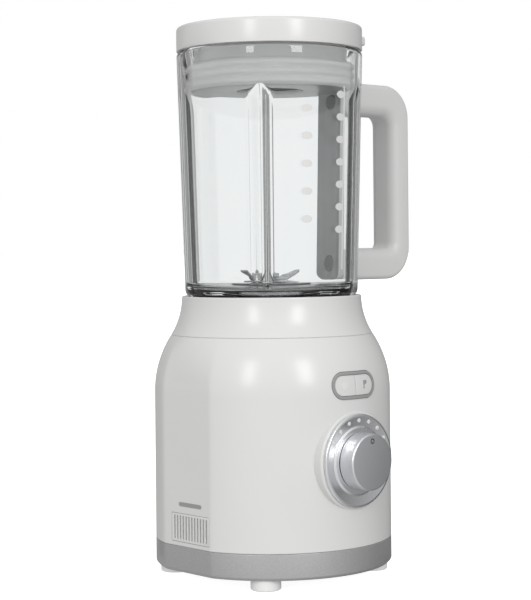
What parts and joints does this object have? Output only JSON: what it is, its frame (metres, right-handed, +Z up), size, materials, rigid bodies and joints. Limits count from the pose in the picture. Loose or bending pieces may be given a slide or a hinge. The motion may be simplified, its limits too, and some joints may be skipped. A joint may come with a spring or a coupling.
{
  "type": "countertop blender",
  "caption": "Countertop blender with a ribbed round glass jar, side handle, push-in lid, turning speed knob, two push buttons and a shouldered motor base.",
  "frame": {"origin": "middle of the footprint of the whole object, on the surface the feet stand on", "axes": "+Z up, -Y out of the front with the knob, +X towards the jar handle"},
  "size_m": [0.2308, 0.2014, 0.42],
  "materials": {
    "white_housing": "satin white moulded ABS",
    "silver_trim": "silver paint on plastic",
    "foot_rubber": "pale moulded rubber",
    "chrome_bezel": "stepped polished ring",
    "satin_knob": "turned and brushed",
    "jar_glass": "clear pressed glass",
    "white_silicone": "translucent white silicone",
    "grey_plastic": "matte moulded",
    "black_plastic": "matte moulded",
    "bright_steel": "bright",
    "core_steel": "laminated core steel",
    "copper": "enamelled copper",
    "brass": "plain brass",
    "carbon": "pressed carbon",
    "board_green": "circuit board"
  },
  "bodies": {
    "base": {"housing": "white_housing", "top_collar": "white_housing", "trim_band": "silver_trim", "bottom_plate": "grey_plastic", "foot_front_left": "foot_rubber", "foot_front_right": "foot_rubber", "foot_rear_left": "foot_rubber", "foot_rear_right": "foot_rubber", "foot_screw_front_left": "bright_steel", "foot_screw_front_right": "bright_steel", "foot_screw_rear_left": "bright_steel", "foot_screw_rear_right": "bright_steel", "side_grille_left": "white_housing", "side_grille_right": "white_housing", "motor_stator": "core_steel", "field_coil_left": "copper", "field_coil_right": "copper", "motor_bracket_upper": "grey_plastic", "motor_bracket_lower": "grey_plastic", "motor_mount_left": "black_plastic", "motor_mount_right": "black_plastic", "bearing_upper": "bright_steel", "bearing_lower": "bright_steel", "brush_holder_front": "brass", "brush_holder_rear": "brass", "carbon_brush_front": "carbon", "carbon_brush_rear": "carbon", "knob_bezel": "chrome_bezel", "selector_switch": "black_plastic", "button_frame": "silver_trim", "button_board": "board_green", "power_board": "board_green", "interlock_switch": "black_plastic", "cord_gland": "grey_plastic"},
    "rotor": {"motor_shaft": "bright_steel", "armature_core": "core_steel", "commutator": "copper", "cooling_fan": "black_plastic", "drive_coupling": "black_plastic"},
    "jar": {"glass_jar": "jar_glass", "jar_handle": "white_housing", "handle_spine": "grey_plastic", "handle_screw_upper": "black_plastic", "handle_screw_lower": "black_plastic", "jar_collar": "white_housing", "blade_seal": "black_plastic", "blade_housing": "bright_steel", "blade_bush": "brass"},
    "blades": {"blade_shaft": "bright_steel", "lower_blade": "bright_steel", "upper_blade": "bright_steel", "blade_nut": "bright_steel", "driven_coupling": "black_plastic"},
    "lid": {"lid_cover": "white_housing", "lid_plug": "white_housing", "lid_gasket": "white_silicone"},
    "cap": {"measuring_cap": "white_housing"},
    "knob": {"speed_knob": "satin_knob"},
    "ice_key": {"ice_button": "white_housing"},
    "pulse_key": {"pulse_button": "white_housing"}
  },
  "joints": [
    {"name": "rotor_spin", "type": "hinge", "parent": "base", "child": "rotor", "pos_m": [-0.0284, 0.00675, 0.12], "axis": [0, 0, 1], "continuous": true},
    {"name": "jar_lift", "type": "slide", "parent": "base", "child": "jar", "axis": [0, 0, 1], "range_m": [0, 0.06]},
    {"name": "blade_spin", "type": "hinge", "parent": "jar", "child": "blades", "pos_m": [-0.0284, 0.00675, 0.215], "axis": [0, 0, 1], "continuous": true},
    {"name": "lid_lift", "type": "slide", "parent": "jar", "child": "lid", "axis": [0, 0, 1], "range_m": [0, 0.05]},
    {"name": "cap_lift", "type": "slide", "parent": "lid", "child": "cap", "axis": [0, 0, 1], "range_m": [0, 0.05]},
    {"name": "knob_turn", "type": "hinge", "parent": "base", "child": "knob", "pos_m": [-0.0284, -0.09, 0.0925], "axis": [0, 1, 0], "range_deg": [-75, 75]},
    {"name": "ice_press", "type": "slide", "parent": "base", "child": "ice_key", "axis": [0, 1, 0], "range_m": [0, 0.0015], "stiffness_N_per_m": 500, "springref_m": -0.002},
    {"name": "pulse_press", "type": "slide", "parent": "base", "child": "pulse_key", "axis": [0, 1, 0], "range_m": [0, 0.0015], "stiffness_N_per_m": 500, "springref_m": -0.002}
  ],
  "couplings": [
    {"joint": "blade_spin", "follows": "rotor_spin", "ratio": 1}
  ]
}
